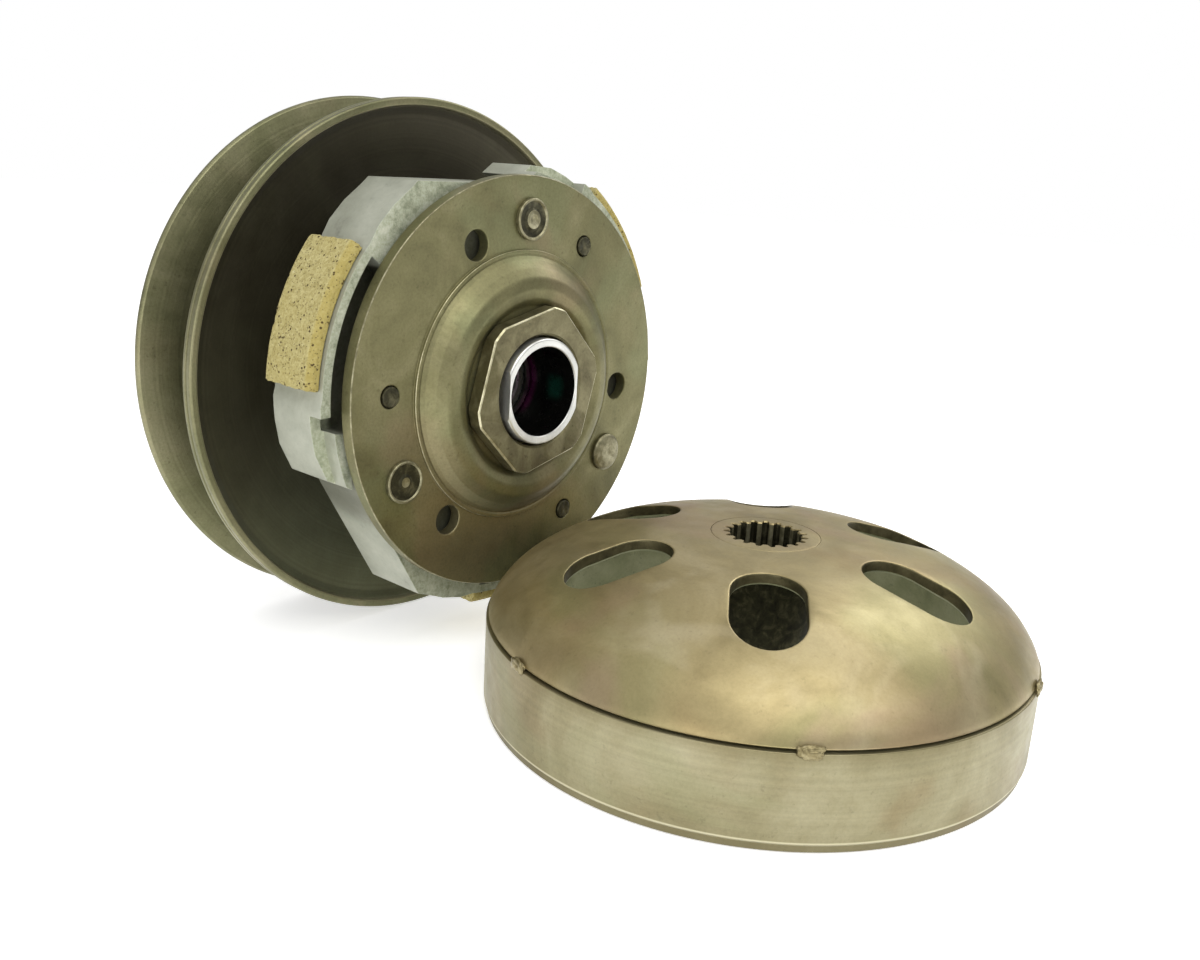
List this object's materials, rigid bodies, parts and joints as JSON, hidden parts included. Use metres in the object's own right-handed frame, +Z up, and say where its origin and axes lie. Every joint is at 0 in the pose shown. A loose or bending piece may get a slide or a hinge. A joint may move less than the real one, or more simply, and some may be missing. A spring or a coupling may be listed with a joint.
{
  "type": "driven pulley and centrifugal clutch set",
  "caption": "Driven pulley of a scooter belt drive with two steel sheaves, contra spring and three-shoe centrifugal clutch, and its loose slotted clutch bell.",
  "frame": {"origin": "centre of the footprint of the pulley unit and the bell together, on the surface they stand on", "axes": "+X along the pulley axis from the rear sheave to the clutch, +Z up along the axis of the bell"},
  "size_m": [0.196, 0.1545, 0.1406],
  "materials": {
    "sheave_steel": "satin, olive-grey phosphate",
    "clutch_steel": "satin, olive-grey phosphate",
    "bright_steel": "machined",
    "bell_steel": "heat-tinted bare steel",
    "cast_aluminium": "as cast",
    "friction_lining": "moulded friction material",
    "rubber": "matt",
    "spring_steel": "oiled"
  },
  "bodies": {
    "pulley_core": {"fixed_face": "sheave_steel", "hub_tube": "bright_steel", "guide_pin_1": "bright_steel", "guide_pin_2": "bright_steel", "guide_pin_3": "bright_steel", "guide_roller_1": "bright_steel", "guide_roller_2": "bright_steel", "guide_roller_3": "bright_steel", "needle_bearing": "bright_steel", "oil_seal": "rubber", "bearing_outer_race": "bright_steel", "bearing_cage": "clutch_steel", "circlip": "spring_steel", "contra_spring": "spring_steel", "spring_seat": "bright_steel", "carrier_plate": "clutch_steel", "hex_nut": "clutch_steel", "pivot_pin_1": "clutch_steel", "pivot_pin_2": "clutch_steel", "pivot_pin_3": "clutch_steel", "e_clip_1": "spring_steel", "e_clip_2": "spring_steel", "e_clip_3": "spring_steel", "damper_stud_1": "clutch_steel", "damper_stud_2": "clutch_steel", "damper_stud_3": "clutch_steel", "damper_rubber_1": "rubber", "damper_rubber_2": "rubber", "damper_rubber_3": "rubber"},
    "shaft_race": {"bearing_inner_race": "bright_steel"},
    "spring_collar": {"seal_collar": "clutch_steel"},
    "movable_sheave": {"movable_face": "sheave_steel", "movable_sleeve": "bright_steel", "o_ring_front": "rubber", "o_ring_rear": "rubber"},
    "shoe_1": {"clutch_shoe_1": "cast_aluminium", "lining_1": "friction_lining", "return_spring_1": "spring_steel"},
    "shoe_2": {"clutch_shoe_2": "cast_aluminium", "lining_2": "friction_lining", "return_spring_2": "spring_steel"},
    "shoe_3": {"clutch_shoe_3": "cast_aluminium", "lining_3": "friction_lining", "return_spring_3": "spring_steel"},
    "clutch_bell": {"bell_ring": "bell_steel", "bell_face": "bell_steel", "bell_hub": "bell_steel", "weld_bead_1": "bell_steel", "weld_bead_2": "bell_steel", "weld_bead_3": "bell_steel", "weld_bead_4": "bell_steel", "weld_bead_5": "bell_steel", "weld_bead_6": "bell_steel"}
  },
  "joints": [
    {"name": "bearing_spin", "type": "hinge", "parent": "pulley_core", "child": "shaft_race", "pos_m": [-0.04717, -0.00706, 0.07028], "axis": [1, 0, 0], "continuous": true},
    {"name": "sheave_slide", "type": "slide", "parent": "pulley_core", "child": "spring_collar", "axis": [1, 0, 0], "range_m": [0, 0.0125], "stiffness_N_per_m": 6000, "springref_m": -0.03, "deforming": ["contra_spring"]},
    {"name": "sheave_twist", "type": "hinge", "parent": "spring_collar", "child": "movable_sheave", "pos_m": [-0.07167, -0.00706, 0.07028], "axis": [1, 0, 0], "range_deg": [0, 26.8]},
    {"name": "shoe_1_swing", "type": "hinge", "parent": "pulley_core", "child": "shoe_1", "pos_m": [-0.04767, -0.00508, 0.11224], "axis": [-1, 0, 0], "range_deg": [0, 3], "stiffness_Nm_per_rad": 16, "springref_deg": -2.86, "deforming": ["return_spring_1"]},
    {"name": "shoe_2_swing", "type": "hinge", "parent": "pulley_core", "child": "shoe_2", "pos_m": [-0.04767, -0.04438, 0.05102], "axis": [-1, 0, 0], "range_deg": [0, 3], "stiffness_Nm_per_rad": 16, "springref_deg": -2.86, "deforming": ["return_spring_2"]},
    {"name": "shoe_3_swing", "type": "hinge", "parent": "pulley_core", "child": "shoe_3", "pos_m": [-0.04767, 0.02829, 0.04759], "axis": [-1, 0, 0], "range_deg": [0, 3], "stiffness_Nm_per_rad": 16, "springref_deg": -2.86, "deforming": ["return_spring_3"]},
    {"name": "bell_slide", "type": "slide", "parent": "pulley_core", "child": "clutch_bell", "axis": [1, 0, 0], "range_m": [0, 0.06]}
  ],
  "couplings": [
    {"joint": "sheave_twist", "follows": "sheave_slide", "rad_per_m": 37.4}
  ]
}
